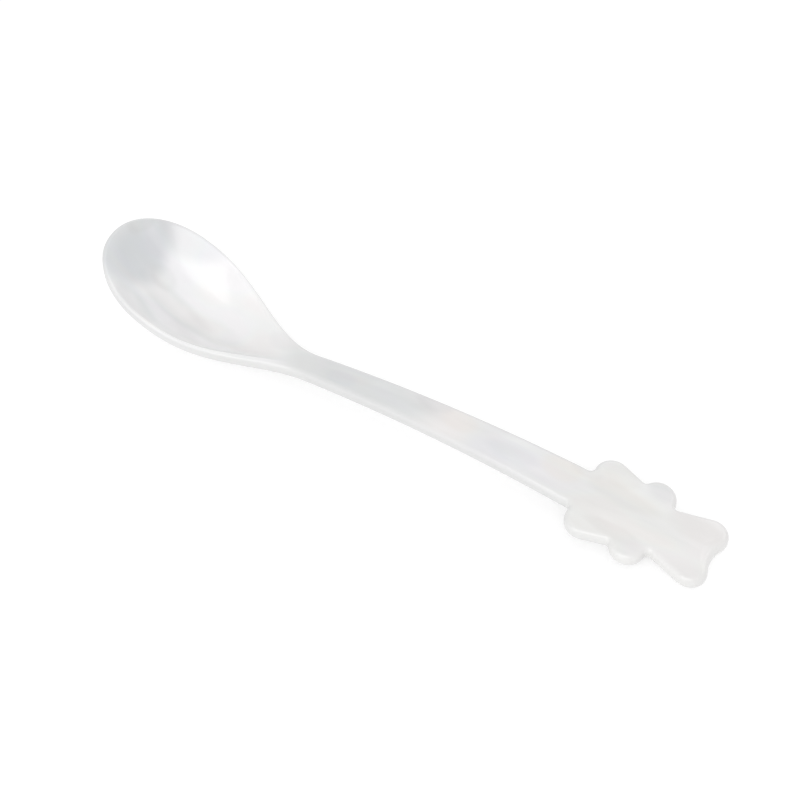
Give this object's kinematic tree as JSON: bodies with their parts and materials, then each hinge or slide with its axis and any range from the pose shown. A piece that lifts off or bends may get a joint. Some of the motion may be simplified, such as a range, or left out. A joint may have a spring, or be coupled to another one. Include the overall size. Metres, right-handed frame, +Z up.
{
  "type": "sugar spoon",
  "caption": "Small polished mother-of-pearl spoon with a deep egg-shaped bowl, an arched flat stem and a plain bear-shaped end.",
  "frame": {"origin": "on the table, under the middle of the spoon's length", "axes": "+X from the bowl to the bear, +Z up, with the spoon lying on the heel of its bowl and the bear's ears"},
  "size_m": [0.1288, 0.0236, 0.0175],
  "materials": {
    "nacre": "polished mother-of-pearl, pearly white-grey with faint pink, green and blue clouds"
  },
  "bodies": {
    "root": {"bowl": "nacre", "stem": "nacre", "bear_finial": "nacre"}
  },
  "joints": []
}
